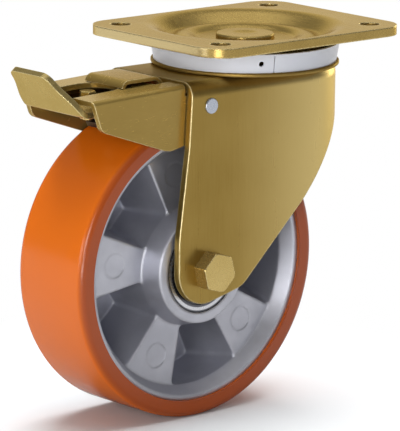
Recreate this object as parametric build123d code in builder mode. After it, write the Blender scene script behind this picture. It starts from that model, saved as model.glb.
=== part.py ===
from build123d import *
import math
import os

os.makedirs("parts", exist_ok=True)

# Swivel castor with a pressed fork, a ball-bearing wheel and a foot brake over the tyre.
# Origin: centre of the top plate's upper face, on the swivel axis. +Z is up.
# The wheel trails towards -X, and the axle bolt's head is on the -Y side. Millimetres and degrees.

# ---------------------------------------------------------------- driving dimensions

# top plate
plate_length = 135
plate_width = 110
plate_thickness = 5
plate_corner = 16
plate_edge = 0.8
hole_spacing_x = 105
hole_spacing_y = 80
hole_diameter = 11

# pressed dish in the top plate: wall, floor, ball ridge and centre land
dish_radius = 53.3
dish_wall_angle = 38
dish_edge_bend = 12
dish_floor_bend = 4
dish_depth = 6.5
ridge_angle = 33
ridge_foot_bend = 3
land_depth = 7.1

# swivel bearing, upper ball row
head_height = 18
race_thickness = 2
race_radius = 50
race_bore_radius = 23
race_shoulder = 2
race_shoulder_width = 12.4
race_edge = 0.6
ball_diameter = 8
ball_pitch_radius = 32.4
ball_count = 20
ball_clearance = 0.1
groove_clearance = 0.2
groove_sink = 0.2
cage_thickness = 2.5
cage_drop = 1.5
cage_rim = 1.2
cage_play = 0.15

# swivel bearing, lower ball row
small_ball_diameter = 6
small_ball_pitch_radius = 18.5
small_ball_count = 14
cup_thickness = 3
cup_wall = 1.1
cup_bore_radius = 13
cup_radius = 24.5
cone_thickness = 3.9
cone_radius = 24
cone_wall = 2.2
small_cage_thickness = 1.4
small_cage_rim = 0.9

# king pin and nut
pin_head_radius = 15.5
pin_head_height = 2.7
pin_head_edge = 1
pin_dimple_radius = 7
pin_dimple_depth = 0.8
pin_radius = 10
pin_thread_radius = 8
pin_clearance = 0.1
crown_hole_radius = 11.5
nut_width = 30
nut_height = 8
nut_stick_out = 2

# dust ring round the upper ball row
ring_top_gap = 3
ring_top_radius = 50.2
ring_foot_radius = 48.6
ring_thickness = 1.8
ring_hole_diameter = 2.7
ring_hole_angle = 238.4
ring_split_angle = 246.4
ring_split_width = 0.4

# wheel
wheel_diameter = 160
tyre_width = 50
tyre_thickness = 9
tyre_edge = 5
rim_recess = 1
rim_lip = 2.6
rim_wall = 7
hub_radius = 29
hub_root_radius = 32
hub_side_gap = 1.5
bearing_seat_shoulder = 20
web_face = 17
web_thickness = 4
sector_count = 5
sector_phase = 172.9
pocket_mouth_half_angle = 20.8
pocket_floor_half_angle = 12.8
pocket_draft = 1.2
pocket_bend = 2.5
ejector_radius = 6.5
ejector_pitch_radius = 50.5
ejector_depth = 0.3

# wheel bearings
bearing_bore_radius = 10
bearing_outer_radius = 23.5
bearing_width = 14
bearing_recess = 0.5
bearing_pitch_radius = 16.75
bearing_ball_diameter = 7.94
bearing_ball_count = 8
inner_ring_radius = 14.2
outer_ring_bore_radius = 19.4
bearing_seat_clearance = 0.05
bearing_cage_radii = (15.7, 17.8)
bearing_cage_half_width = 4.8
shield_thickness = 0.6
shield_gap = 0.4
shield_recess = 0.8

# axle
axle_clearance = 0.15
bolt_diameter = 12
bolt_head_width = 19
bolt_head_height = 7
nylon_nut_height = 10
collar_height = 3
collar_radius = 8.2
bolt_end = 3
hex_chamfer = 1.2

# fork
trail = 53
tyre_gap = 16
fork_sheet = 4
cheek_gap = 5
crown_bend = 8
crown_front = 65.5
cheek_flat_end = 12.5
rear_flank_radius = 50
rear_flank_turn = 48
cheek_waist = (67.6, 35)
cheek_toe_reach = 20.7
cheek_toe_knee = 18
cheek_toe_radius = 17.7
cheek_sole_drop = 22.1
cheek_sole_angle = 13.5
cheek_heel_reach = 22.9
cheek_heel_radius = 15
cheek_back_angle = 44
cheek_back_reach = 65.3
rear_lip_angle = 48
cheek_long_bend = 60
bolt_turn = 30

# brake: pivot pin, channel lever, release pedal, shoe, screws and leaf spring
brake_pin_drop = 9
brake_pin_radius = 3.5
brake_pin_head_radius = 4.1
brake_pin_head_height = 0.9
pivot_clearance = 0.1
lever_sheet = 3
lever_side_gap = 0.5
lever_bend = 2.2
lever_front = 128
lever_crown_gap = 1.5
lever_web_top_rear = 21.2
lever_web_top_front = 23.5
lever_slot_end = 91
lever_slot_half_width = 13.5
lever_notch_front = 77
lever_notch_half_width = 17
lever_lobe_radius = 8
lever_lobe_top_gap = 3
lever_belly = (77.5, 55.2)
lever_chin = (122.2, 39.6)
lever_heel = (61, 51.6)
lever_heel_radius = 5
lever_lobe_bend = 7.5
lever_chin_radius = 6
lever_belly_radius = 15
pedal_sheet = 3
pedal_arm_top = 30
pedal_foot = 129
pedal_angle = 50
pedal_length = 29
pedal_foot_half_width = 23.5
pedal_top_half_width = 15
pedal_corner = 5
pedal_bend = 3
pedal_arm_end = 78
pedal_ear_radius = 6.2
shoe_sheet = 3
shoe_front = 125
shoe_fold_angle = 22
shoe_toe_angle = 34
shoe_half_width = 20
shoe_gap = 4.3
screw_x = 101
screw_y = 8
screw_radius = 2.5
screw_head_width = 8
screw_head_height = 4.4
screw_head_edge = 0.8
screw_nut_height = 4
screw_clearance = 0.2
spring_sheet = 2
spring_half_width = 15
spring_nose_radius = 3.6
spring_nose_turn = 80
spring_shelf_top = 18
spring_shelf_front = 92.5
spring_shelf_rear = 74
spring_dive_x = 68
spring_end = 34
spring_bend = 4
rivet_x = 42
rivet_y = 8
rivet_radius = 2.5
rivet_head_radius = 4.2
rivet_head_height = 1.6
seat_gap = 0.1

# ---------------------------------------------------------------- derived levels

wheel_radius = wheel_diameter / 2
rim_radius = wheel_radius - tyre_thickness
half_tyre = tyre_width / 2
race_top = -head_height
crown_top = race_top - race_thickness
crown_under = crown_top - fork_sheet
axle_z = crown_under - tyre_gap - wheel_radius
cheek_inner = half_tyre + cheek_gap
cheek_outer = cheek_inner + fork_sheet
ball_radius = ball_diameter / 2
ball_z = race_top + groove_sink + ball_clearance + ball_radius
groove_radius = ball_radius + groove_clearance
small_ball_radius = small_ball_diameter / 2
small_groove_radius = small_ball_radius + groove_clearance
pivot_x = -trail
pivot_z = crown_under - brake_pin_drop
pivot_hole_radius = brake_pin_radius + pivot_clearance

axle_axis = Axis((-trail, 0, axle_z), (0, 1, 0))
# local x runs along the axle and local y away from it
axle_section = Plane(origin=(-trail, 0, axle_z), x_dir=(0, 1, 0), z_dir=(1, 0, 0))
# local x and y are world X and Z about the axle, seen from the bolt head's side
wheel_face = Plane(origin=(-trail, 0, axle_z), x_dir=(1, 0, 0), z_dir=(0, -1, 0))


def tan(angle):
    return math.tan(math.radians(angle))


def cos(angle):
    return math.cos(math.radians(angle))


def sin(angle):
    return math.sin(math.radians(angle))


def save(builder, name):
    """Label a finished piece with its node's name and write it as one STEP file."""
    builder.part.label = name
    export_step(builder.part, f"parts/{name}.step")


# ---------------------------------------------------------------- top plate
# Pressed sheet: a round dish whose ridge is the upper track of the swivel's ball row.

ridge_top = ball_z + ball_radius + ball_clearance + plate_thickness
ridge_bend = groove_radius + plate_thickness
ridge_peak = ridge_top + ridge_bend * (1 / cos(ridge_angle) - 1)
ridge_outer_foot = ball_pitch_radius + (ridge_peak + dish_depth) / tan(ridge_angle)
ridge_inner_foot = ball_pitch_radius - (ridge_peak + land_depth) / tan(ridge_angle)
dish_wall_top = dish_radius - dish_edge_bend * tan(dish_wall_angle / 2)
dish_wall_foot = dish_wall_top - dish_depth / tan(dish_wall_angle)

with BuildPart() as top_plate:
    with BuildSketch(Plane.XY.offset(-plate_thickness)):
        RectangleRounded(plate_length, plate_width, plate_corner)
        Circle(dish_radius, mode=Mode.SUBTRACT)
        with GridLocations(hole_spacing_x, hole_spacing_y, 2, 2):
            Circle(hole_diameter / 2, mode=Mode.SUBTRACT)
    extrude(amount=plate_thickness)
    with BuildSketch(Plane.XZ):
        with BuildLine():
            FilletPolyline(
                (dish_radius + plate_edge / 2, 0),
                (dish_wall_top, 0),
                (dish_wall_foot, -dish_depth),
                (ridge_outer_foot, -dish_depth),
                (ball_pitch_radius, ridge_peak),
                (ridge_inner_foot, -land_depth),
                (pin_radius + pin_clearance, -land_depth),
                radius=[dish_edge_bend, dish_floor_bend, ridge_foot_bend, ridge_bend, ridge_foot_bend],
            )
            offset(amount=plate_thickness, side=Side.LEFT)
        make_face()
    revolve(axis=Axis.Z)
save(top_plate, "top_plate")

# ---------------------------------------------------------------- king pin and nut
# Turned pin with a flat riveted head in the dish; its shoulder carries the cone, and the nut holds it.

head_foot = -land_depth
head_top = head_foot + pin_head_height
small_ball_z = crown_under - cup_wall - ball_clearance - small_ball_radius
cone_bottom = small_ball_z - small_ball_radius - ball_clearance - cone_wall
cone_top = cone_bottom + cone_thickness
pin_end = cone_bottom - nut_height - nut_stick_out
dimple_sphere = (pin_dimple_radius**2 + pin_dimple_depth**2) / (2 * pin_dimple_depth)

with BuildPart() as king_pin:
    with BuildSketch(Plane.XY.offset(head_foot)):
        Circle(pin_head_radius)
    extrude(amount=pin_head_height)
    fillet(king_pin.edges().group_by(Axis.Z)[-1], pin_head_edge)
    with Locations((0, 0, head_top - pin_dimple_depth + dimple_sphere)):
        Sphere(dimple_sphere, mode=Mode.SUBTRACT)
    with BuildSketch(Plane.XY.offset(cone_top)):
        Circle(pin_radius)
    extrude(amount=head_foot - cone_top)
    with BuildSketch(Plane.XY.offset(pin_end)):
        Circle(pin_thread_radius)
    extrude(amount=cone_top - pin_end)
    chamfer(king_pin.edges().group_by(Axis.Z)[0], nut_stick_out / 2)
save(king_pin, "king_pin")

with BuildPart() as king_nut:
    with BuildSketch(Plane.XY.offset(cone_bottom - nut_height)):
        RegularPolygon(nut_width / 2, 6, major_radius=False)
        Circle(pin_thread_radius + pin_clearance, mode=Mode.SUBTRACT)
    extrude(amount=nut_height)
    with BuildSketch(Plane.XZ):
        with BuildLine():
            Polyline(
                (0, cone_bottom),
                (nut_width / 2, cone_bottom),
                (nut_width / 2 / cos(30), cone_bottom - hex_chamfer),
                (nut_width / 2 / cos(30), cone_bottom - nut_height + hex_chamfer),
                (nut_width / 2, cone_bottom - nut_height),
                (0, cone_bottom - nut_height),
                close=True,
            )
        make_face()
    revolve(axis=Axis.Z, mode=Mode.INTERSECT)
save(king_nut, "king_nut")

# ---------------------------------------------------------------- swivel bearing, upper row
# Balls in a pressed cage, between the plate's ridge and a race disc on the fork's crown.

race_inner_shoulder = ball_pitch_radius - race_shoulder_width / 2
race_outer_shoulder = ball_pitch_radius + race_shoulder_width / 2

with BuildPart() as race_disc:
    with BuildSketch(Plane.XZ):
        with BuildLine():
            Polyline(
                (race_bore_radius, crown_top),
                (race_radius, crown_top),
                (race_radius, race_top),
                (race_outer_shoulder + race_shoulder / 2, race_top),
                (race_outer_shoulder, race_top + race_shoulder),
                (race_inner_shoulder, race_top + race_shoulder),
                (race_inner_shoulder - race_shoulder / 2, race_top),
                (race_bore_radius, race_top),
                close=True,
            )
        make_face()
        with Locations((ball_pitch_radius, race_top + groove_sink + groove_radius)):
            Circle(groove_radius, mode=Mode.SUBTRACT)
    revolve(axis=Axis.Z)
    fillet(race_disc.edges().filter_by(GeomType.CIRCLE).sort_by(SortBy.RADIUS)[-2:], race_edge)
save(race_disc, "race_disc")

with BuildPart() as upper_balls:
    with Locations((0, 0, ball_z)):
        with PolarLocations(ball_pitch_radius, ball_count):
            Sphere(ball_radius)
save(upper_balls, "upper_balls")

with BuildPart() as upper_cage:
    with BuildSketch(Plane.XY.offset(ball_z - cage_drop)):
        Circle(ball_pitch_radius + ball_radius + cage_play + cage_rim)
        Circle(ball_pitch_radius - ball_radius - cage_play - cage_rim, mode=Mode.SUBTRACT)
        with PolarLocations(ball_pitch_radius, ball_count):
            Circle(ball_radius + cage_play, mode=Mode.SUBTRACT)
    extrude(amount=cage_thickness)
save(upper_cage, "upper_cage")

# ---------------------------------------------------------------- swivel bearing, lower row
# A grooved cup under the crown, small balls in their cage, and a cone clamped on the king pin.

cup_bottom = crown_under - cup_thickness

with BuildPart() as crown_cup:
    with BuildSketch(Plane.XZ):
        with BuildLine():
            Polyline(
                (cup_bore_radius, crown_under),
                (cup_radius, crown_under),
                (cup_radius, cup_bottom),
                (cup_bore_radius, cup_bottom),
                close=True,
            )
        make_face()
        with Locations((small_ball_pitch_radius, crown_under - cup_wall - small_groove_radius)):
            Circle(small_groove_radius, mode=Mode.SUBTRACT)
    revolve(axis=Axis.Z)
save(crown_cup, "crown_cup")

with BuildPart() as lower_balls:
    with Locations((0, 0, small_ball_z)):
        with PolarLocations(small_ball_pitch_radius, small_ball_count):
            Sphere(small_ball_radius)
save(lower_balls, "lower_balls")

with BuildPart() as lower_cage:
    with BuildSketch(Plane.XY.offset(small_ball_z - small_cage_thickness / 2)):
        Circle(small_ball_pitch_radius + small_ball_radius + cage_play + small_cage_rim)
        Circle(small_ball_pitch_radius - small_ball_radius - cage_play - small_cage_rim, mode=Mode.SUBTRACT)
        with PolarLocations(small_ball_pitch_radius, small_ball_count):
            Circle(small_ball_radius + cage_play, mode=Mode.SUBTRACT)
    extrude(amount=small_cage_thickness)
save(lower_cage, "lower_cage")

with BuildPart() as pin_cone:
    with BuildSketch(Plane.XZ):
        with BuildLine():
            Polyline(
                (pin_thread_radius + pin_clearance, cone_bottom),
                (cone_radius - hex_chamfer, cone_bottom),
                (cone_radius, cone_bottom + hex_chamfer),
                (cone_radius, cone_top),
                (pin_thread_radius + pin_clearance, cone_top),
                close=True,
            )
        make_face()
        with Locations((small_ball_pitch_radius, cone_bottom + cone_wall + small_groove_radius)):
            Circle(small_groove_radius, mode=Mode.SUBTRACT)
    revolve(axis=Axis.Z)
save(pin_cone, "pin_cone")

# ---------------------------------------------------------------- dust ring
# Split plastic ring that stands on the race disc and hides the balls, with one grease hole.

ring_top = -plate_thickness - ring_top_gap
ring_height = ring_top - race_top
ring_hole_way = (cos(ring_hole_angle), sin(ring_hole_angle), 0)
ring_split_way = (cos(ring_split_angle), sin(ring_split_angle), 0)

with BuildPart() as dust_ring:
    with BuildSketch(Plane.XZ):
        with BuildLine():
            Polyline(
                (ring_foot_radius, race_top),
                (ring_top_radius, ring_top),
                (ring_top_radius - ring_thickness, ring_top),
                (ring_foot_radius - ring_thickness, race_top),
                close=True,
            )
        make_face()
    revolve(axis=Axis.Z)
    with BuildSketch(Plane(origin=(0, 0, race_top + ring_height / 2), z_dir=ring_hole_way)):
        Circle(ring_hole_diameter / 2)
    extrude(amount=race_radius, mode=Mode.SUBTRACT)
    with BuildSketch(Plane(origin=(0, 0, race_top + ring_height / 2), z_dir=ring_split_way)):
        Rectangle(ring_split_width, 2 * ring_height)
    extrude(amount=race_radius, mode=Mode.SUBTRACT)
save(dust_ring, "dust_ring")

# ---------------------------------------------------------------- fork
# One deep-drawn sheet: crown, two cheeks, and a rounded wall behind the wheel. Open in front.

rear_radius = (cheek_outer - rear_flank_radius * (1 - cos(rear_flank_turn))) / cos(rear_flank_turn)
rear_flank_reach = cheek_flat_end + rear_flank_radius * sin(rear_flank_turn)
rear_reach = rear_flank_reach + rear_radius * (1 - sin(rear_flank_turn))
toe_x = -trail - cheek_toe_reach
toe_z = axle_z - cheek_sole_drop
heel_x = -trail + cheek_heel_reach
heel_z = toe_z + (heel_x - toe_x) * tan(cheek_sole_angle)
back_x = -trail + cheek_back_reach
back_z = heel_z + (back_x - heel_x) * tan(cheek_back_angle)
blank_front = -toe_x + 2 * fork_sheet
blank_rear = rear_reach + fork_sheet
blank_depth = crown_top - toe_z

with BuildSketch() as fork_plan:
    with BuildLine():
        near_cheek = Line((-blank_front, -cheek_outer), (cheek_flat_end, -cheek_outer))
        near_flank = JernArc(near_cheek @ 1, near_cheek % 1, rear_flank_radius, rear_flank_turn)
        rear_wall = JernArc(near_flank @ 1, near_flank % 1, rear_radius, 180 - 2 * rear_flank_turn)
        far_flank = JernArc(rear_wall @ 1, rear_wall % 1, rear_flank_radius, rear_flank_turn)
        Polyline(far_flank @ 1, (-blank_front, cheek_outer), (-blank_front, -cheek_outer))
    make_face()

with BuildPart() as fork:
    with BuildSketch(Plane.XY.offset(crown_top)):
        add(fork_plan.sketch)
    extrude(amount=-blank_depth)
    fillet(fork.edges().group_by(Axis.Z)[-1].filter_by(Axis.Y, reverse=True), crown_bend)
    with BuildSketch(Plane.XY.offset(crown_under)):
        add(fork_plan.sketch)
        offset(amount=-fork_sheet, kind=Kind.INTERSECTION)
    extrude(amount=-blank_depth, mode=Mode.SUBTRACT)
    inner_fold = fork.edges().filter_by_position(Axis.Z, crown_under - seat_gap, crown_under + seat_gap)
    fillet(inner_fold.filter_by(Axis.Y, reverse=True), crown_bend - fork_sheet)
    with BuildSketch(Plane.XZ):
        with BuildLine():
            cheek_edge = FilletPolyline(
                (-crown_front, crown_top),
                (-cheek_waist[0], crown_top - cheek_waist[1]),
                (toe_x, axle_z + cheek_toe_knee),
                (toe_x, toe_z),
                (heel_x, heel_z),
                (back_x, back_z),
                (blank_rear, back_z + (blank_rear - back_x) * tan(rear_lip_angle)),
                radius=[
                    cheek_long_bend,
                    cheek_long_bend,
                    cheek_toe_radius,
                    cheek_heel_radius,
                    cheek_long_bend,
                ],
            )
            Polyline(cheek_edge @ 1, (blank_rear, crown_top), cheek_edge @ 0)
        make_face()
    extrude(amount=cheek_outer + fork_sheet, both=True, mode=Mode.INTERSECT)
    with BuildSketch(Plane.XY.offset(crown_top)):
        Circle(crown_hole_radius)
    extrude(amount=-fork_sheet, mode=Mode.SUBTRACT)
    with BuildSketch(Plane.XZ):
        with Locations((-trail, axle_z)):
            Circle(bolt_diameter / 2 + axle_clearance)
        with Locations((pivot_x, pivot_z)):
            Circle(brake_pin_radius + bearing_seat_clearance)
    extrude(amount=cheek_outer + fork_sheet, both=True, mode=Mode.SUBTRACT)
    with Locations((-rivet_x, -rivet_y, crown_top), (-rivet_x, rivet_y, crown_top)):
        CounterSinkHole(rivet_radius + seat_gap, rivet_head_radius + seat_gap, fork_sheet, 90)
save(fork, "fork")

# ---------------------------------------------------------------- wheel centre
# Cast wheel centre: hub with two bearing seats, and a corrugated web of five raised sectors a side.

hub_half = cheek_inner - hub_side_gap
bearing_outside = hub_half - bearing_recess
bearing_inside = bearing_outside - bearing_width
rim_half = half_tyre - rim_recess
rim_inner_radius = rim_radius - rim_wall
web_floor = web_face - web_thickness
sector_angle = 360 / sector_count


def pocket_sketch(plane, angle, half_angle, low_radius, high_radius):
    """Ring sector about the axle, with rounded corners, centred on an angle."""
    with BuildSketch(plane) as sector:
        with BuildLine():
            inside = CenterArc((0, 0), low_radius, angle - half_angle, 2 * half_angle)
            outside = CenterArc((0, 0), high_radius, angle - half_angle, 2 * half_angle)
            Line(inside @ 0, outside @ 0)
            Line(inside @ 1, outside @ 1)
        make_face()
        fillet(sector.vertices(), pocket_bend)
    return sector.sketch


pockets = []
for number in range(sector_count):
    for side in (1, -1):
        middle = sector_phase + number * sector_angle + (sector_angle / 2 if side > 0 else 0)
        mouth = pocket_sketch(
            wheel_face.offset(side * web_face),
            middle,
            pocket_mouth_half_angle,
            hub_root_radius,
            rim_inner_radius,
        )
        floor = pocket_sketch(
            wheel_face.offset(-side * web_floor),
            middle,
            pocket_floor_half_angle,
            hub_root_radius + pocket_draft,
            rim_inner_radius - pocket_draft,
        )
        pockets.append((mouth, floor))

with BuildPart() as wheel_centre:
    with BuildSketch(axle_section):
        with BuildLine():
            Polyline(
                (0, bearing_seat_shoulder),
                (bearing_inside, bearing_seat_shoulder),
                (bearing_inside, bearing_outer_radius + bearing_seat_clearance),
                (hub_half, bearing_outer_radius + bearing_seat_clearance),
                (hub_half, hub_radius),
                (web_face, hub_root_radius),
                (web_face, rim_inner_radius),
                (rim_half, rim_radius - rim_lip),
                (rim_half, rim_radius),
                (0, rim_radius),
                close=True,
            )
        make_face()
        mirror(about=Plane.YZ)
    revolve(axis=axle_axis)
    for mouth, floor in pockets:
        loft([mouth, floor], mode=Mode.SUBTRACT)
    for side in (1, -1):
        start = sector_phase + (0 if side > 0 else sector_angle / 2)
        with BuildSketch(wheel_face.offset(side * web_face)):
            with PolarLocations(ejector_pitch_radius, sector_count, start_angle=start):
                Circle(ejector_radius)
        extrude(amount=-side * ejector_depth, mode=Mode.SUBTRACT)
save(wheel_centre, "wheel_centre")

# ---------------------------------------------------------------- tyre
# Cast elastomer band with rounded shoulders, bonded to the rim.

with BuildPart() as tyre:
    with BuildSketch(axle_section) as tyre_section:
        with BuildLine():
            Polyline(
                (-half_tyre, rim_radius + bearing_seat_clearance),
                (-half_tyre, wheel_radius),
                (half_tyre, wheel_radius),
                (half_tyre, rim_radius + bearing_seat_clearance),
                close=True,
            )
        make_face()
        fillet(tyre_section.vertices().group_by(Axis.Y)[-1], tyre_edge)
    revolve(axis=axle_axis)
save(tyre, "tyre")

# ---------------------------------------------------------------- wheel bearings
# Two deep-groove ball bearings. Each is drawn on the far side and mirrored.

bearing_middle = bearing_outside - bearing_width / 2
bearing_ball_radius = bearing_ball_diameter / 2
bearing_groove_radius = bearing_ball_radius + ball_clearance

with BuildPart() as bearing_outer_rings:
    with BuildSketch(axle_section):
        with Locations((bearing_middle, (outer_ring_bore_radius + bearing_outer_radius) / 2)):
            Rectangle(bearing_width, bearing_outer_radius - outer_ring_bore_radius)
        with Locations((bearing_middle, bearing_pitch_radius)):
            Circle(bearing_groove_radius, mode=Mode.SUBTRACT)
    revolve(axis=axle_axis)
    mirror(about=Plane.XZ)
save(bearing_outer_rings, "bearing_outer_rings")

with BuildPart() as bearing_inner_rings:
    with BuildSketch(axle_section):
        with Locations((bearing_middle, (bearing_bore_radius + inner_ring_radius) / 2)):
            Rectangle(bearing_width, inner_ring_radius - bearing_bore_radius)
        with Locations((bearing_middle, bearing_pitch_radius)):
            Circle(bearing_groove_radius, mode=Mode.SUBTRACT)
    revolve(axis=axle_axis)
    mirror(about=Plane.XZ)
save(bearing_inner_rings, "bearing_inner_rings")

with BuildPart() as bearing_balls:
    with Locations(wheel_face.offset(-bearing_middle), wheel_face.offset(bearing_middle)):
        with PolarLocations(bearing_pitch_radius, bearing_ball_count):
            Sphere(bearing_ball_radius)
save(bearing_balls, "bearing_balls")

with BuildPart() as bearing_cages:
    with BuildSketch(axle_section):
        with Locations((bearing_middle, (bearing_cage_radii[0] + bearing_cage_radii[1]) / 2)):
            Rectangle(2 * bearing_cage_half_width, bearing_cage_radii[1] - bearing_cage_radii[0])
    revolve(axis=axle_axis)
    with Locations(wheel_face.offset(-bearing_middle)):
        with PolarLocations(bearing_pitch_radius, bearing_ball_count):
            Cylinder(
                bearing_ball_radius + cage_play,
                2 * bearing_ball_diameter,
                rotation=(0, 90, 0),
                mode=Mode.SUBTRACT,
            )
    mirror(about=Plane.XZ)
save(bearing_cages, "bearing_cages")

shield_bore_radius = inner_ring_radius + shield_gap
shield_radius = outer_ring_bore_radius - seat_gap

with BuildPart() as bearing_shields:
    with BuildSketch(axle_section):
        for middle in (bearing_outside - shield_recess, bearing_inside + shield_recess):
            with Locations((middle, (shield_bore_radius + shield_radius) / 2)):
                Rectangle(shield_thickness, shield_radius - shield_bore_radius)
    revolve(axis=axle_axis)
    mirror(about=Plane.XZ)
save(bearing_shields, "bearing_shields")

# ---------------------------------------------------------------- axle
# Hexagon bolt through both cheeks and a spacer tube, with a lock nut and two side washers.

tube_radius = bearing_bore_radius - bearing_seat_clearance
tube_bore_radius = bolt_diameter / 2 + axle_clearance

with BuildPart() as spacer_tube:
    with BuildSketch(axle_section):
        with Locations((0, (tube_bore_radius + tube_radius) / 2)):
            Rectangle(2 * cheek_inner, tube_radius - tube_bore_radius)
    revolve(axis=axle_axis)
save(spacer_tube, "spacer_tube")

with BuildPart() as side_washers:
    with BuildSketch(axle_section):
        with Locations(((bearing_outside + cheek_inner) / 2, (bearing_bore_radius + inner_ring_radius) / 2)):
            Rectangle(cheek_inner - bearing_outside, inner_ring_radius - bearing_bore_radius)
    revolve(axis=axle_axis)
    mirror(about=Plane.XZ)
save(side_washers, "side_washers")

bolt_corner = bolt_head_width / 2 / cos(30)

with BuildPart() as axle_bolt:
    with BuildSketch(wheel_face.offset(cheek_outer)):
        RegularPolygon(bolt_head_width / 2, 6, major_radius=False, rotation=bolt_turn)
    extrude(amount=bolt_head_height)
    with BuildSketch(axle_section):
        with BuildLine():
            Polyline(
                (-cheek_outer, 0),
                (-cheek_outer, bolt_corner),
                (-cheek_outer - bolt_head_height + hex_chamfer, bolt_corner),
                (-cheek_outer - bolt_head_height, bolt_head_width / 2),
                (-cheek_outer - bolt_head_height, 0),
                close=True,
            )
        make_face()
    revolve(axis=axle_axis, mode=Mode.INTERSECT)
    with BuildSketch(wheel_face.offset(cheek_outer)):
        Circle(bolt_diameter / 2)
    extrude(amount=-2 * cheek_outer - nylon_nut_height - bolt_end)
    chamfer(axle_bolt.edges().group_by(Axis.Y)[-1], bolt_end / 3)
save(axle_bolt, "axle_bolt")

with BuildPart() as axle_nut:
    with BuildSketch(wheel_face.offset(-cheek_outer)):
        RegularPolygon(bolt_head_width / 2, 6, major_radius=False, rotation=bolt_turn)
    extrude(amount=-nylon_nut_height)
    with BuildSketch(axle_section):
        with BuildLine():
            Polyline(
                (cheek_outer, bolt_diameter / 2 + seat_gap),
                (cheek_outer, bolt_corner),
                (cheek_outer + nylon_nut_height - collar_height - hex_chamfer, bolt_corner),
                (cheek_outer + nylon_nut_height - collar_height, collar_radius),
                (cheek_outer + nylon_nut_height, collar_radius),
                (cheek_outer + nylon_nut_height, bolt_diameter / 2 + seat_gap),
                close=True,
            )
        make_face()
    revolve(axis=axle_axis, mode=Mode.INTERSECT)
save(axle_nut, "axle_nut")

# ---------------------------------------------------------------- brake pivot pin
# Riveted pin through both cheeks, under the crown, with low domed heads.

pivot_face = Plane(origin=(pivot_x, 0, pivot_z), x_dir=(1, 0, 0), z_dir=(0, -1, 0))
lever_outer = cheek_inner - lever_side_gap
lever_inner = lever_outer - lever_sheet

with BuildPart() as brake_pin:
    with BuildSketch(pivot_face):
        Circle(brake_pin_radius)
    extrude(amount=cheek_outer, both=True)
    for side in (1, -1):
        with BuildSketch(pivot_face.offset(side * cheek_outer)):
            Circle(brake_pin_head_radius)
        extrude(amount=side * brake_pin_head_height)
    fillet(brake_pin.edges().group_by(Axis.Y)[0], brake_pin_head_height / 2)
    fillet(brake_pin.edges().group_by(Axis.Y)[-1], brake_pin_head_height / 2)
save(brake_pin, "brake_pin")

# ---------------------------------------------------------------- brake lever
# Folded channel: a web to step on and two deep flanges that straddle the tyre and hang on the pin.

web_rear = crown_front + lever_crown_gap
web_slope = (lever_web_top_front - lever_web_top_rear) / (lever_front - web_rear)
lobe_top = crown_under - lever_lobe_top_gap

with BuildPart() as brake_lever:
    with BuildSketch(Plane.XZ):
        with BuildLine():
            flange_edge = FilletPolyline(
                (-lever_front, -lever_web_top_front),
                (-lever_chin[0], -lever_chin[1]),
                (-lever_belly[0], -lever_belly[1]),
                (-lever_heel[0], -lever_heel[1]),
                (pivot_x + lever_lobe_radius, pivot_z - lever_lobe_radius),
                (pivot_x + lever_lobe_radius, lobe_top),
                (-web_rear, lobe_top),
                radius=[
                    lever_chin_radius,
                    lever_belly_radius,
                    lever_heel_radius,
                    lever_heel_radius,
                    lever_lobe_bend,
                ],
            )
            Polyline(flange_edge @ 1, (-web_rear, -lever_web_top_rear), flange_edge @ 0)
        make_face()
    extrude(amount=lever_outer, both=True)
    fillet(brake_lever.faces().sort_by(Axis.Z)[-1].edges().filter_by(Axis.Y, reverse=True), lever_bend)
    with BuildSketch(Plane.XZ):
        with BuildLine():
            Polyline(
                (-lever_front - lever_sheet, -lever_web_top_front - lever_sheet - web_slope * lever_sheet),
                (0, -lever_web_top_rear - lever_sheet + web_slope * web_rear),
                (0, axle_z),
                (-lever_front - lever_sheet, axle_z),
                close=True,
            )
        make_face()
    extrude(amount=lever_inner, both=True, mode=Mode.SUBTRACT)
    with BuildSketch(Plane.XY.offset(crown_top)):
        with Locations((-lever_slot_end - lever_slot_half_width, 0)):
            Circle(lever_slot_half_width)
        with Locations((-lever_slot_end - lever_slot_half_width, 0)):
            Rectangle(lever_front, 2 * lever_slot_half_width, align=(Align.MAX, Align.CENTER))
        with Locations((-lever_notch_front, 0)):
            Rectangle(lever_notch_front, 2 * lever_notch_half_width, align=(Align.MIN, Align.CENTER))
    extrude(amount=pivot_z - crown_top, mode=Mode.SUBTRACT)
    with BuildSketch(pivot_face):
        Circle(pivot_hole_radius)
    extrude(amount=lever_outer, both=True, mode=Mode.SUBTRACT)
save(brake_lever, "brake_lever")

# ---------------------------------------------------------------- release pedal
# One folded sheet: upturned pedal, flat arm inside the channel, and two ears on the pivot pin.

pedal_arm_bottom = pedal_arm_top + pedal_sheet
pedal_plane = Plane(
    origin=(-pedal_foot, 0, -pedal_arm_bottom), x_dir=(0, 1, 0), z_dir=(sin(pedal_angle), 0, cos(pedal_angle))
)

with BuildSketch() as pedal_outline:
    with BuildLine():
        near_side = Spline(
            (-pedal_foot_half_width, 0), (-pedal_top_half_width, pedal_length), tangents=[(0, 1), (0, 1)]
        )
        far_side = Spline(
            (pedal_foot_half_width, 0), (pedal_top_half_width, pedal_length), tangents=[(0, 1), (0, 1)]
        )
        Line(near_side @ 1, far_side @ 1)
        Line(near_side @ 0, far_side @ 0)
    make_face()
    fillet(pedal_outline.vertices().group_by(Axis.Y)[-1], pedal_corner)

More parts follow.
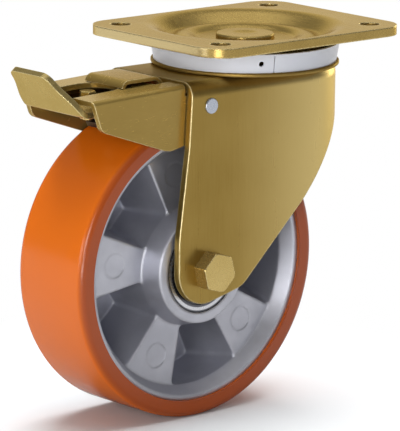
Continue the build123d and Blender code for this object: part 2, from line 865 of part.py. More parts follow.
with BuildPart() as release_pedal:
    with BuildSketch(Plane.XZ):
        with BuildLine():
            FilletPolyline(
                (-pedal_arm_end, -pedal_arm_bottom),
                (-pedal_foot, -pedal_arm_bottom),
                (
                    -pedal_foot - pedal_length * cos(pedal_angle),
                    -pedal_arm_bottom + pedal_length * sin(pedal_angle),
                ),
                radius=pedal_bend + pedal_sheet,
            )
            offset(amount=pedal_sheet, side=Side.RIGHT)
        make_face()
    extrude(amount=pedal_foot_half_width, both=True)
    with BuildSketch(pedal_plane):
        Rectangle(4 * pedal_foot_half_width, 2 * pedal_length, align=(Align.CENTER, Align.MIN))
        add(pedal_outline.sketch, mode=Mode.SUBTRACT)
    extrude(amount=2 * pedal_sheet, both=True, mode=Mode.SUBTRACT)
    with BuildSketch(Plane.XZ):
        with BuildLine():
            Polyline(
                (-pedal_arm_end - 2 * pedal_ear_radius, -pedal_arm_top),
                (-pedal_arm_end - 2 * pedal_ear_radius, -pedal_arm_bottom),
                (-pedal_arm_end, -pedal_arm_bottom - pedal_sheet),
                (pivot_x, pivot_z - pedal_ear_radius),
                (pivot_x, pivot_z + pedal_ear_radius),
                (-pedal_arm_end, -pedal_arm_top),
                close=True,
            )
        make_face()
        with Locations((pivot_x, pivot_z)):
            Circle(pedal_ear_radius)
            Circle(pivot_hole_radius, mode=Mode.SUBTRACT)
    extrude(amount=pedal_foot_half_width, both=True)
    with BuildSketch(Plane.XZ):
        with Locations((-pedal_arm_end, pivot_z)):
            Rectangle(pedal_arm_end, 2 * brake_pin_drop, align=(Align.MIN, Align.CENTER))
        with Locations((-pedal_arm_end, -pedal_arm_bottom)):
            Rectangle(pedal_foot, brake_pin_drop, align=(Align.MAX, Align.MAX))
    extrude(amount=pedal_foot_half_width - pedal_sheet, both=True, mode=Mode.SUBTRACT)
    with Locations((-screw_x, -screw_y, -pedal_arm_top), (-screw_x, screw_y, -pedal_arm_top)):
        Hole(screw_radius + screw_clearance)
save(release_pedal, "release_pedal")

# ---------------------------------------------------------------- brake shoe, its screws and nuts
# Folded strip: a flat top under the pedal's arm, a tight fold, and a pad curved to the tyre.

shoe_middle_radius = wheel_radius + shoe_gap + shoe_sheet / 2
shoe_top = -pedal_arm_bottom
shoe_middle = shoe_top - shoe_sheet / 2
fold_drop = shoe_middle - axle_z - shoe_middle_radius * cos(shoe_fold_angle)
fold_radius = fold_drop / (1 + cos(shoe_fold_angle))
fold_x = -trail - (shoe_middle_radius + fold_radius) * sin(shoe_fold_angle)
shoe_bottom = shoe_top - shoe_sheet

with BuildPart() as brake_shoe:
    with BuildSketch(Plane.XZ):
        with BuildLine():
            CenterArc(
                (-trail, axle_z),
                shoe_middle_radius + shoe_sheet / 2,
                90 + shoe_toe_angle,
                shoe_fold_angle - shoe_toe_angle,
            )
            fold = CenterArc(
                (fold_x, shoe_middle - fold_radius),
                fold_radius - shoe_sheet / 2,
                shoe_fold_angle - 90,
                180 - shoe_fold_angle,
            )
            Line(fold @ 1, (-shoe_front, shoe_bottom))
            offset(amount=shoe_sheet, side=Side.RIGHT)
        make_face()
    extrude(amount=shoe_half_width, both=True)
    with Locations((-screw_x, -screw_y, shoe_top), (-screw_x, screw_y, shoe_top)):
        Hole(screw_radius + screw_clearance, depth=2 * shoe_sheet)
save(brake_shoe, "brake_shoe")

with BuildPart() as shoe_screws:
    with BuildSketch(Plane.XY.offset(-pedal_arm_top)):
        with Locations((-screw_x, -screw_y), (-screw_x, screw_y)):
            RegularPolygon(screw_head_width / 2, 6, major_radius=False)
    extrude(amount=screw_head_height)
    fillet(shoe_screws.edges().group_by(Axis.Z)[-1], screw_head_edge)
    with BuildSketch(Plane.XY.offset(-pedal_arm_top)):
        with Locations((-screw_x, -screw_y), (-screw_x, screw_y)):
            Circle(screw_radius)
    extrude(amount=-pedal_sheet - shoe_sheet - screw_nut_height - screw_head_edge)
save(shoe_screws, "shoe_screws")

with BuildPart() as shoe_nuts:
    with BuildSketch(Plane.XY.offset(shoe_bottom)):
        with Locations((-screw_x, -screw_y), (-screw_x, screw_y)):
            RegularPolygon(screw_head_width / 2, 6, major_radius=False)
            Circle(screw_radius + seat_gap, mode=Mode.SUBTRACT)
    extrude(amount=-screw_nut_height)
save(shoe_nuts, "shoe_nuts")

# ---------------------------------------------------------------- leaf spring and its rivets
# Spring strip fixed under the crown: it dives under the crown's edge and rests its nose on the lever.

spring_low = crown_under - seat_gap - spring_sheet / 2
shelf_middle = -spring_shelf_top - spring_sheet / 2

with BuildPart() as leaf_spring:
    with BuildSketch(Plane.XZ):
        with BuildLine():
            shelf = FilletPolyline(
                (-spring_end, spring_low - spring_sheet / 2),
                (-spring_dive_x, spring_low - spring_sheet / 2),
                (-spring_shelf_rear, shelf_middle - spring_sheet / 2),
                (-spring_shelf_front, shelf_middle - spring_sheet / 2),
                radius=[spring_bend, spring_bend],
            )
            JernArc(shelf @ 1, shelf % 1, spring_nose_radius - spring_sheet / 2, spring_nose_turn)
            offset(amount=spring_sheet, side=Side.RIGHT)
        make_face()
    extrude(amount=spring_half_width, both=True)
    with Locations((-rivet_x, -rivet_y, crown_under), (-rivet_x, rivet_y, crown_under)):
        Hole(rivet_radius + seat_gap)
save(leaf_spring, "leaf_spring")

with BuildPart() as spring_rivets:
    with BuildSketch(Plane.XY.offset(crown_top - seat_gap)):
        with Locations((-rivet_x, -rivet_y), (-rivet_x, rivet_y)):
            Circle(rivet_head_radius - seat_gap)
    extrude(amount=-(rivet_head_radius - rivet_radius), taper=45)
    with BuildSketch(Plane.XY.offset(crown_top - seat_gap)):
        with Locations((-rivet_x, -rivet_y), (-rivet_x, rivet_y)):
            Circle(rivet_radius)
    extrude(amount=-fork_sheet - spring_sheet)
    with BuildSketch(Plane.XY.offset(crown_under - seat_gap - spring_sheet)):
        with Locations((-rivet_x, -rivet_y), (-rivet_x, rivet_y)):
            Circle(rivet_head_radius)
    extrude(amount=-rivet_head_height)
    fillet(spring_rivets.edges().group_by(Axis.Z)[0], rivet_head_height / 2)
save(spring_rivets, "spring_rivets")
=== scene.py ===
import math

import bpy
import numpy as np
from mathutils import Matrix, Vector


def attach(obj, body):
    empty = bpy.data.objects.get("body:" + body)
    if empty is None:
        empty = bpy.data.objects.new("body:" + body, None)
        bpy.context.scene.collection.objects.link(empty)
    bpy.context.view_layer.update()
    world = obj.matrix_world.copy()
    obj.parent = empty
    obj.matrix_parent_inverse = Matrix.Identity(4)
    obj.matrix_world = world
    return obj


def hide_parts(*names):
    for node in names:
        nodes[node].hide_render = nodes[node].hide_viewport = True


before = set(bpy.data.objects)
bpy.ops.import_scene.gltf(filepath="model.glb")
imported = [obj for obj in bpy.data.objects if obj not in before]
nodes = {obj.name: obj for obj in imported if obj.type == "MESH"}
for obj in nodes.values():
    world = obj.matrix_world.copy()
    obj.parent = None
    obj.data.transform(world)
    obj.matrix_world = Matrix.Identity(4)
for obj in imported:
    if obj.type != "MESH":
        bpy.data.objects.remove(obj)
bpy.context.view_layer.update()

# ---------------------------------------------------------------- top plate and swivel head
# A plate pressed from steel sheet, and the king pin, nut, crown cup and cone that hold the swivel together.
# All have a yellow-passivated zinc plate: a glossy, slightly cloudy gold with a fine rolled grain,
# paler where an edge is rounded or rubbed: partly wear, partly a painted highlight.


def colour(red, green, blue):
    """A colour given as a screen shows it, 0 to 255, turned into the linear values that shaders read."""
    shares = [value / 255 for value in (red, green, blue)]
    linear = [s / 12.92 if s <= 0.04045 else ((s + 0.055) / 1.055) ** 2.4 for s in shares]
    return (*linear, 1.0)


def fill(tree, node, sockets):
    """Sets a node's sockets to values, or links them to other nodes' outputs."""
    for name, value in sockets.items():
        if isinstance(value, bpy.types.NodeSocket):
            tree.links.new(value, node.inputs[name])
        else:
            node.inputs[name].default_value = value


def put(tree, kind, sockets=None, **settings):
    """Adds a shader node with its settings, and fills its sockets."""
    node = tree.nodes.new("ShaderNode" + kind)
    for name, value in settings.items():
        setattr(node, name, value)
    fill(tree, node, sockets or {})
    return node


def noise(tree, place, scale, detail, roughness=0.5):
    """Noise from 0 to 1 over a place, with scale cells to a metre."""
    sockets = {"Vector": place, "Scale": scale, "Detail": detail, "Roughness": roughness}
    return put(tree, "TexNoise", sockets).outputs[0]


def blend(tree, share, first, second):
    """Two tones mixed: a share of 0 gives the first and 1 the second."""
    return put(tree, "Mix", {0: share, 6: first, 7: second}, data_type="RGBA").outputs[2]


def blend_values(tree, share, first, second):
    """Two plain values mixed in the same way."""
    return put(tree, "Mix", {0: share, 2: first, 3: second}).outputs[0]


def spread(tree, value, start, end, low=0.0, high=1.0, smooth=False):
    """A value from start to end carried over to low and high, and held there beyond them."""
    easing = "SMOOTHSTEP" if smooth else "LINEAR"
    sockets = {0: value, 1: start, 2: end, 3: low, 4: high}
    return put(tree, "MapRange", sockets, interpolation_type=easing).outputs[0]


def reckon(tree, operation, *values, **settings):
    """A sum done on one or two plain values."""
    return put(tree, "Math", dict(enumerate(values)), operation=operation, **settings).outputs[0]


def reckon_vectors(tree, operation, *vectors):
    """A sum done on one or two vectors; a length or a dot product comes out as a plain value."""
    result = put(tree, "VectorMath", dict(enumerate(vectors)), operation=operation)
    return result.outputs["Value" if operation in ("LENGTH", "DOT_PRODUCT") else "Vector"]


def bumped(tree, strength, distance, height, normal=None):
    """The surface's normal tipped by a height that is distance metres deep at full strength."""
    sockets = {"Strength": strength, "Distance": distance, "Height": height}
    if normal is not None:
        sockets["Normal"] = normal
    return put(tree, "Bump", sockets).outputs[0]


def new_group(name, inputs, outputs):
    """An empty shader node group with its named sockets, and its input and output nodes."""
    group = bpy.data.node_groups.new(name, "ShaderNodeTree")
    for socket, kind, value in inputs:
        made = group.interface.new_socket(socket, in_out="INPUT", socket_type=kind)
        if value is not None:
            made.default_value = value
    for socket, kind in outputs:
        group.interface.new_socket(socket, in_out="OUTPUT", socket_type=kind)
    return group, group.nodes.new("NodeGroupInput"), group.nodes.new("NodeGroupOutput")


def use_group(tree, group, sockets):
    """Places a node group in a material, with its input sockets filled."""
    return put(tree, "Group", sockets, node_tree=group)


def make_edge_group():
    """Edge wear and painted highlight: how far a rounded normal turns away from the true one, broken up by
    noise.
    """
    group, given, made = new_group(
        "wear_and_sheen_edges",
        [("Vector", "NodeSocketVector", None), ("Radius", "NodeSocketFloat", 0.0008)],
        [("Mask", "NodeSocketFloat"), ("Normal", "NodeSocketVector")],
    )
    rounded = put(group, "Bevel", {"Radius": given.outputs["Radius"]}, samples=6).outputs[0]
    true = put(group, "NewGeometry").outputs["True Normal"]
    facing = reckon_vectors(group, "DOT_PRODUCT", rounded, true)
    turned = reckon(group, "SUBTRACT", 1.0, facing, use_clamp=True)
    broken = spread(group, noise(group, given.outputs["Vector"], 420.0, 3.0), 0.3, 0.7, 2.0, 9.0)
    mask = reckon(group, "MULTIPLY", turned, broken, use_clamp=True)
    fill(group, made, {"Mask": mask, "Normal": rounded})
    return group


def make_grain_group():
    """Drawn or rolled grain: noise stretched along one way, with a slower cloud, as a tone and a height."""
    group, given, made = new_group(
        "drawn_grain",
        [("Vector", "NodeSocketVector", None), ("Stretch", "NodeSocketVector", (1.0, 1.0, 1.0))],
        [("Tone", "NodeSocketFloat"), ("Cloud", "NodeSocketFloat"), ("Height", "NodeSocketFloat")],
    )
    place = given.outputs["Vector"]
    stretched = reckon_vectors(group, "MULTIPLY", place, given.outputs["Stretch"])
    lines = noise(group, stretched, 900.0, 4.0, 0.6)
    bands = noise(group, stretched, 130.0, 3.0)
    cloud = noise(group, place, 26.0, 4.0)
    peel = noise(group, place, 620.0, 2.0)
    tone = blend_values(group, 0.45, lines, bands)
    height = blend_values(group, 0.5, lines, peel)
    fill(group, made, {"Tone": tone, "Cloud": cloud, "Height": height})
    return group


wear_and_sheen_edges = make_edge_group()
drawn_grain = make_grain_group()


def new_material(name):
    """A material with nodes: its tree, its Principled shader and the piece's own Object coordinates."""
    material = bpy.data.materials.new(name)
    material.use_nodes = True
    tree = material.node_tree
    place = put(tree, "TexCoord").outputs["Object"]
    return material, tree, tree.nodes["Principled BSDF"], place


# the tint, at a grazing angle, of every finish that plated_steel makes, the grey ones too
grazing_tint = (0.84, 0.68, 0.38, 1.0)


def plated_steel(name, deep, pale, edge, stretch, roughness, radius=0.0008, bump=0.05, metal=0.8, fade=None):
    """Plated steel: two tones mixed by grain and cloud, paler edges from wear and painted highlight, rounded
    corners and a faint grain.

    fade is (x from, x to, colour): a painted highlight that turns the colour to that one along X.
    """
    material, tree, shader, place = new_material(name)
    grain = use_group(tree, drawn_grain, {"Vector": place, "Stretch": stretch})
    edge_wear_and_sheen = use_group(tree, wear_and_sheen_edges, {"Vector": place, "Radius": radius})
    mottle = blend_values(tree, 0.5, grain.outputs["Tone"], grain.outputs["Cloud"])
    tones = blend(tree, spread(tree, mottle, 0.36, 0.64), deep, pale)
    if fade:
        fade_from, fade_to, faded = fade
        along = put(tree, "SeparateXYZ", {0: place}).outputs["X"]
        tones = blend(tree, spread(tree, along, fade_from, fade_to, smooth=True), tones, faded)
    surface = {
        "Base Color": blend(tree, edge_wear_and_sheen.outputs["Mask"], tones, edge),
        "Metallic": metal,
        "Specular Tint": grazing_tint,
        "Roughness": spread(tree, grain.outputs["Tone"], 0.3, 0.7, *roughness),
        "Normal": bumped(tree, bump, 0.0004, grain.outputs["Height"], edge_wear_and_sheen.outputs["Normal"]),
    }
    fill(tree, shader, surface)
    return material


def finish_nodes(material, *names):
    """Gives CAD nodes a material in their own slots; their shape and place stay as they are."""
    for name in names:
        slots = nodes[name].data.materials
        slots.clear()
        slots.append(material)


# pale gold on the edges: rubbed zinc, and a painted highlight on their rounding
gold_edge_wear_and_sheen = colour(240, 222, 168)
no_stretch = (1.0, 1.0, 1.0)

# a painted highlight: the last 2 mm of the plate's end over the wheel are paler
plate_end_highlight = (-0.0655, -0.0672, colour(206, 186, 136))
plate_gold = plated_steel(
    "plate_gold", colour(152, 127, 70), colour(172, 147, 86), gold_edge_wear_and_sheen, (1.0, 0.04, 1.0), (0.22, 0.32),
    radius=0.0012, fade=plate_end_highlight,
)
finish_nodes(plate_gold, "top_plate", "king_pin", "king_nut", "crown_cup", "pin_cone")

# ---------------------------------------------------------------- swivel balls and cages
# Two rows of hardened steel balls in pressed cages, greased and hidden between their tracks.
# The wheel bearings' balls and inner rings are of the same ground steel.

ball_steel = plated_steel(
    "ball_steel", colour(112, 112, 117), colour(136, 136, 141), colour(205, 205, 208), no_stretch, (0.12, 0.2),
    radius=0.0002, bump=0.02,
)
finish_nodes(ball_steel, "upper_balls", "lower_balls", "bearing_balls", "bearing_inner_rings")
finish_nodes(plate_gold, "upper_cage", "lower_cage")

# ---------------------------------------------------------------- race disc
# A turned disc clamped on the fork's crown, with the upper row's track in its face, under the dust ring.
# It has the same gold plate, duller than on the plate and the fork, and painted darker as the shade under the
# dust ring.

# painted darker, as the shade under the dust ring
race_gold_shaded = plated_steel(
    "race_gold_shaded", colour(128, 104, 52), colour(146, 120, 64), colour(166, 140, 82), no_stretch, (0.34, 0.46)
)
finish_nodes(race_gold_shaded, "race_disc")

# ---------------------------------------------------------------- dust ring
# A split ring moulded in light grey plastic, smooth and a little glossy.
# It stands on the race disc and hides the upper row of balls.

ring_grey, tree, shader, place = new_material("ring_grey")
haze = noise(tree, place, 40.0, 3.0)
mould_grain = noise(tree, place, 900.0, 2.0)
ring_edge = use_group(tree, wear_and_sheen_edges, {"Vector": place, "Radius": 0.0004})
ring_surface = {
    "Base Color": blend(tree, haze, colour(216, 219, 229), colour(222, 225, 233)),
    "Roughness": spread(tree, haze, 0.3, 0.7, 0.3, 0.42),
    "Normal": bumped(tree, 0.06, 0.0002, mould_grain, ring_edge.outputs["Normal"]),
}
fill(tree, shader, ring_surface)
finish_nodes(ring_grey, "dust_ring")

# ---------------------------------------------------------------- fork
# One steel sheet, deep-drawn into a crown, two cheeks and the rounded wall behind the wheel.
# Drawing leaves fine upright lines on the cheeks, under the same gold plate, which is painted paler towards the
# back as a reflection.

# the back of the fork is painted paler, as a reflection
fork_back_reflection = (-0.046, 0.04, colour(205, 182, 120))
fork_gold = plated_steel(
    "fork_gold", colour(143, 117, 57), colour(158, 132, 70), gold_edge_wear_and_sheen, (1.0, 1.0, 0.06), (0.26, 0.36),
    radius=0.0013, fade=fork_back_reflection,
)
finish_nodes(fork_gold, "fork")

# ---------------------------------------------------------------- wheel centre
# Die-cast aluminium, as it leaves the mould and a light blast: a satin grey with a fine grain,
# with a painted highlight on the rounded edges between the raised sectors and the pockets.

wheel_grey, tree, shader, place = new_material("wheel_grey")
cloud = noise(tree, place, 30.0, 5.0, 0.6)
blasted = noise(tree, place, 1400.0, 3.0)
flow = noise(tree, place, 160.0, 4.0)
wheel_edge_highlight = use_group(tree, wear_and_sheen_edges, {"Vector": place, "Radius": 0.0022})
greys = blend(tree, spread(tree, cloud, 0.35, 0.65), colour(176, 177, 186), colour(192, 193, 202))
# the rounded edges are painted paler, as a highlight
wheel_edge_highlight_share = reckon(tree, "MULTIPLY", wheel_edge_highlight.outputs["Mask"], 0.5)
wheel_surface = {
    "Base Color": blend(tree, wheel_edge_highlight_share, greys, colour(226, 227, 234)),
    "Metallic": 0.75,
    "Roughness": spread(tree, flow, 0.3, 0.7, 0.34, 0.46),
    "Normal": bumped(tree, 0.12, 0.0004, blend_values(tree, 0.35, blasted, flow), wheel_edge_highlight.outputs["Normal"]),
}
fill(tree, shader, wheel_surface)
finish_nodes(wheel_grey, "wheel_centre")

# ---------------------------------------------------------------- tyre
# A polyurethane band cast round the wheel centre, orange right through, with rounded shoulders.
# It is glossy from its mould and faintly cloudy, and its flat sides are painted a deeper tone as shade.

axle_x, axle_z = -0.053, -0.12
tyre_radius = 0.08
tyre_inner = 0.0711
tyre_half = 0.026
tyre_round = 0.004
tyre_steps = 256
shoulder_points = 10
side_from, side_to = 0.0222, 0.0258

tyre_orange, tree, shader, place = new_material("tyre_orange")
milk = noise(tree, place, 14.0, 3.0)
scuff = noise(tree, place, 90.0, 5.0, 0.65)
orange = blend(tree, milk, colour(216, 102, 12), colour(228, 112, 18))
from_middle = reckon(tree, "ABSOLUTE", put(tree, "SeparateXYZ", {0: place}).outputs["Y"])
# the flat sides are painted a deeper tone, as shade
side_painted_shade = spread(tree, from_middle, side_from, side_to, smooth=True)
tyre_surface = {
    "Base Color": blend(tree, side_painted_shade, orange, colour(162, 72, 24)),
    "Roughness": spread(tree, scuff, 0.35, 0.7, 0.17, 0.27),
    "Normal": bumped(tree, 0.04, 0.0006, scuff),
    "IOR": 1.42,
}
fill(tree, shader, tyre_surface)


def about_axle(radius, along, turn):
    """Points at distances r from the axle, places y along it and angles a.

    x = axle x + r cos a, y = y, z = axle z + r sin a.
    """
    radius, along, turn = np.broadcast_arrays(radius, along, turn)
    return np.stack([axle_x + radius * np.cos(turn), along, axle_z + radius * np.sin(turn)], axis=-1)


def closed_piece(name, points, faces, sharp):
    """A closed solid from points and faces, smooth but for edges sharper than an angle in degrees.

    Each face is a fan of triangles (a, b, c), and each of those adds a sixth of a . (b x c) to the volume.
    Where the sum is below 0, the faces point inwards, and all are turned.
    """
    flat = points.reshape(-1, 3)
    fans = [(face[0], *pair) for face in faces for pair in zip(face[1:], face[2:])]
    a, b, c = flat[np.array(fans)].transpose(1, 0, 2)
    if (a * np.cross(b, c)).sum() < 0:
        faces = [face[::-1] for face in faces]
    mesh = bpy.data.meshes.new(name)
    mesh.from_pydata(flat.tolist(), [], faces)
    mesh.polygons.foreach_set("use_smooth", np.ones(len(faces), dtype=bool))
    mesh.set_sharp_from_angle(angle=math.radians(sharp))
    piece = bpy.data.objects.new(name, mesh)
    bpy.context.scene.collection.objects.link(piece)
    return piece


def lathe(name, outline, steps, sharp=35):
    """A closed outline turned round the wheel's axle.

    The outline is a list of (distance from the axle, place along Y). Vertex (i, j) is outline point j at the
    angle 2 pi i / steps.
    """
    outline_radius, outline_along = np.array(outline).T
    turn = np.arange(steps) * 2 * np.pi / steps
    points = about_axle(outline_radius[None, :], outline_along[None, :], turn[:, None])
    here = np.arange(points.shape[0] * points.shape[1]).reshape(points.shape[:2])
    ahead = np.roll(here, -1, axis=0)
    quads = np.stack([here, ahead, np.roll(ahead, -1, axis=1), np.roll(here, -1, axis=1)], axis=-1)
    return closed_piece(name, points, quads.reshape(-1, 4).tolist(), sharp)


# one shoulder is a quarter circle; the other half of the outline mirrors it
corner = np.linspace(0, np.pi / 2, shoulder_points)
shoulder_radius = tyre_radius - tyre_round + tyre_round * np.sin(corner)
shoulder_along = tyre_half - tyre_round + tyre_round * np.cos(corner)
tyre_outline = [(tyre_inner, tyre_half), *zip(shoulder_radius.tolist(), shoulder_along.tolist())]
tyre_outline += [(r, -y) for r, y in reversed(tyre_outline)]
tyre_band = lathe("tyre_band", tyre_outline, tyre_steps)
tyre_band.data.materials.append(tyre_orange)
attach(tyre_band, "wheel")
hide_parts("tyre")

# ---------------------------------------------------------------- bearing shields, cages, washers and spacer
# Pressed steel shields and cages, two washers and a tube round the bolt, all between the fork's cheeks.
# They are painted dark as the shade between the cheeks, with pale edges: partly rubbed, partly a painted
# highlight.

# painted dark, as the shade between the cheeks
shield_steel_shaded = plated_steel(
    "shield_steel_shaded", colour(62, 62, 68), colour(84, 84, 90), colour(196, 196, 202), no_stretch, (0.25, 0.38),
    radius=0.0003,
)
finish_nodes(shield_steel_shaded, "bearing_shields", "bearing_cages", "side_washers", "spacer_tube")

# ---------------------------------------------------------------- bearing outer rings
# Hardened steel rings pressed into the hub, one a side.
# Each has a dull face, a pale band painted as a highlight, and a dark line painted as shade in the gap at its
# seat.

ring_shine_radius = 0.0215
ring_shine_half = 0.0007
ring_seat_radius = 0.0228
ring_line_blur = 0.0003

ring_steel, tree, shader, place = new_material("ring_steel")
ring_wear_and_sheen = use_group(tree, wear_and_sheen_edges, {"Vector": place, "Radius": 0.0003})
brushed = use_group(tree, drawn_grain, {"Vector": place, "Stretch": no_stretch})
from_axle = reckon_vectors(tree, "SUBTRACT", place, (axle_x, 0.0, axle_z))
flattened = reckon_vectors(tree, "MULTIPLY", from_axle, (1.0, 0.0, 1.0))
ring_radius = reckon_vectors(tree, "LENGTH", flattened)
# a pale band painted as a highlight, and a dark line painted as shade at the seat
off_band = reckon(tree, "ABSOLUTE", reckon(tree, "SUBTRACT", ring_radius, ring_shine_radius))
ring_band_highlight = spread(tree, off_band, ring_shine_half, ring_shine_half + ring_line_blur, 1.0, 0.0)
seat_gap_shade = spread(tree, ring_radius, ring_seat_radius, ring_seat_radius + ring_line_blur)
face = blend(tree, brushed.outputs["Tone"], colour(84, 84, 89), colour(104, 104, 110))
banded = blend(tree, ring_band_highlight, face, colour(206, 207, 212))
seat_gap_shaded = blend(tree, seat_gap_shade, banded, colour(48, 48, 52))
ring_surface = {
    "Base Color": blend(tree, ring_wear_and_sheen.outputs["Mask"], seat_gap_shaded, colour(150, 150, 155)),
    "Metallic": 0.9,
    "Roughness": spread(tree, brushed.outputs["Tone"], 0.3, 0.7, 0.22, 0.34),
    "Normal": bumped(tree, 0.05, 0.0003, brushed.outputs["Height"], ring_wear_and_sheen.outputs["Normal"]),
}
fill(tree, shader, ring_surface)
finish_nodes(ring_steel, "bearing_outer_rings")

# ---------------------------------------------------------------- axle bolt and nut
# An M12 hexagon bolt through both cheeks and its lock nut, plated gold like the fork.
# The head has a flat machined face with cut corners, and the free end carries a thread.
# The brake shoe's screws and nuts have the same finish.

head_seat = -0.034
head_height = 0.0085
head_flat = 0.0095
head_slope = 0.0004
head_turn = math.radians(44)
head_sharp = 20
shank_radius = 0.006
shank_end = 0.047
shank_chamfer = 0.0008
shank_sharp = 60
thread_start = 0.0442
thread_pitch = 0.00175
thread_depth = 0.0005
thread_run_in = 0.0004
thread_rows = 29
plain_gap = 0.0002
bolt_steps = 144

bolt_gold = plated_steel(
    "bolt_gold", colour(180, 155, 92), colour(198, 174, 112), gold_edge_wear_and_sheen, no_stretch, (0.22, 0.32), radius=0.0006
)
finish_nodes(bolt_gold, "axle_bolt", "axle_nut", "shoe_nuts", "shoe_screws")


def closed_rings(name, rings, sharp=35):
    """A closed solid from rings of points, each joined to the next, with a flat end at the first and the last.

    rings has the shape (rings, points round, 3).
    """
    count, around = rings.shape[:2]
    here = np.arange(count * around).reshape(count, around)
    beside = np.roll(here, -1, axis=1)
    sides = np.stack([here[:-1], beside[:-1], beside[1:], here[1:]], axis=-1).reshape(-1, 4)
    ends = [here[0][::-1].tolist(), here[-1].tolist()]
    return closed_piece(name, rings, sides.tolist() + ends, sharp)


# the head: a hexagon's distance apothem / cos(angle from the nearest flat), cut near its face by ever
# smaller circles, one for each row of points from the seat outwards
turns = (np.arange(bolt_steps) * 2 * np.pi / bolt_steps)[None, :]
from_flat = (turns - head_turn) % (np.pi / 3) - np.pi / 6
hexagon = head_flat / np.cos(from_flat)
head_end = head_seat - head_height
head_rows = np.array([[head_seat], [head_end + 2 * head_slope], [head_end + head_slope], [head_end]])
head_circles = np.array([[np.inf], [0.0117], [0.011], [0.0103]])
head_radius = np.minimum(hexagon, head_circles)
bolt_head = closed_rings("bolt_head", about_axle(head_radius, head_rows, turns), head_sharp)

# the shank: a plain rod whose end carries a thread, where the radius falls and rises once a pitch along
# the helix
thread_along = np.linspace(thread_start, shank_end, thread_rows)
shank_along = np.concatenate([[head_seat, thread_start - plain_gap], thread_along])[:, None]
phase = ((shank_along - thread_start) / thread_pitch - turns / (2 * np.pi)) % 1.0
groove = thread_depth * (1 - np.abs(2 * phase - 1))
into_thread = np.clip((shank_along - thread_start) / thread_run_in, 0.0, 1.0)
end_chamfer = np.maximum(shank_along - (shank_end - shank_chamfer), 0.0)
shank = shank_radius - groove * into_thread - end_chamfer
bolt_shank = closed_rings("bolt_shank", about_axle(shank, shank_along, turns), shank_sharp)
for piece in (bolt_head, bolt_shank):
    piece.data.materials.append(bolt_gold)
    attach(piece, "fork")
    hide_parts("axle_bolt")

# ---------------------------------------------------------------- nylon ring
# The lock nut's ring of blue-white nylon, which grips the thread.
# It is rolled in under the nut's collar and stands a little proud of it.

nylon_inner = 0.0063
nylon_outer = 0.0078
nylon_low = 0.044
nylon_top = 0.0445
nylon_round = 0.0002
nylon_steps = 64

nylon_pale, tree, shader, place = new_material("nylon_pale")
waxy = noise(tree, place, 900.0, 3.0)
nylon_surface = {
    "Base Color": blend(tree, waxy, colour(196, 206, 220), colour(222, 228, 236)),
    "Roughness": spread(tree, waxy, 0.3, 0.7, 0.4, 0.55),
    "Normal": bumped(tree, 0.05, 0.0002, waxy),
}
fill(tree, shader, nylon_surface)

nylon_outline = [
    (nylon_inner, nylon_low),
    (nylon_outer, nylon_low),
    (nylon_outer, nylon_top - nylon_round),
    (nylon_outer - nylon_round, nylon_top),
    (nylon_inner + nylon_round, nylon_top),
    (nylon_inner, nylon_top - nylon_round),
]
nylon_ring = lathe("nylon_ring", nylon_outline, nylon_steps)
nylon_ring.data.materials.append(nylon_pale)
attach(nylon_ring, "fork")

# ---------------------------------------------------------------- brake pin
# A turned pin in bright zinc, riveted through both cheeks: its low head shows silver on the gold.
# The two rivets that hold the leaf spring to the crown have the same finish.

pin_silver = plated_steel(
    "pin_silver", colour(168, 174, 188), colour(186, 192, 204), colour(224, 228, 236), no_stretch, (0.2, 0.3),
    radius=0.0004,
)
finish_nodes(pin_silver, "brake_pin", "spring_rivets")

# ---------------------------------------------------------------- brake lever, pedal and leaf spring
# Folded steel sheet under the same gold plate, with sheared edges that are a little rounded and paler: partly
# wear, partly a painted highlight.
# The lever and the pedal hang on the brake pin; the spring is riveted under the crown.

brake_gold = plated_steel(
    "brake_gold", colour(144, 119, 60), colour(158, 133, 72), gold_edge_wear_and_sheen, (0.3, 1.0, 1.0), (0.2, 0.3), metal=0.55
)
finish_nodes(brake_gold, "brake_lever", "leaf_spring")
# the pedal's plate is painted paler than the lever, as a sheen
pedal_gold_sheen = plated_steel(
    "pedal_gold_sheen", colour(168, 148, 92), colour(182, 162, 106), gold_edge_wear_and_sheen, (0.3, 1.0, 1.0), (0.2, 0.3)
)
finish_nodes(pedal_gold_sheen, "release_pedal")

# ---------------------------------------------------------------- brake shoe
# A steel strip folded under the pedal's arm and screwed to it, its end curved to the tyre as a pad.
# It sits in shade over the tyre, and its dull finish is painted dark brown as that shade. Its screw holes
# aren't cut here.

strip_top = -0.033
strip_thick = 0.003
strip_half = 0.0165
strip_front = -0.112
strip_gap = 0.0043
strip_fold = math.radians(22)
strip_toe = math.radians(29)
pad_points = 6
fold_points = 25

# painted dark brown, as the shade over the tyre
shoe_steel_shaded = plated_steel(
    "shoe_steel_shaded", colour(58, 46, 40), colour(74, 60, 52), colour(120, 104, 90), (1.0, 0.2, 1.0), (0.35, 0.5)
)

# the strip's middle line: a short arc over the tyre, the fold, and the flat under the arm
pad_radius = tyre_radius + strip_gap + strip_thick / 2
strip_middle = strip_top - strip_thick / 2
fold_radius = (strip_middle - axle_z - pad_radius * math.cos(strip_fold)) / (1 + math.cos(strip_fold))
fold_x = axle_x - (pad_radius + fold_radius) * math.sin(strip_fold)
fold_z = strip_middle - fold_radius
pad_turn = np.linspace(np.pi / 2 + strip_toe, np.pi / 2 + strip_fold, pad_points)
fold_turn = np.linspace(strip_fold - np.pi / 2, np.pi / 2, fold_points)[1:]
pad_x, pad_z = axle_x + pad_radius * np.cos(pad_turn), axle_z + pad_radius * np.sin(pad_turn)
bend_x, bend_z = fold_x + fold_radius * np.cos(fold_turn), fold_z + fold_radius * np.sin(fold_turn)
line_x = np.concatenate([pad_x, bend_x, [strip_front]])
line_z = np.concatenate([pad_z, bend_z, [strip_middle]])

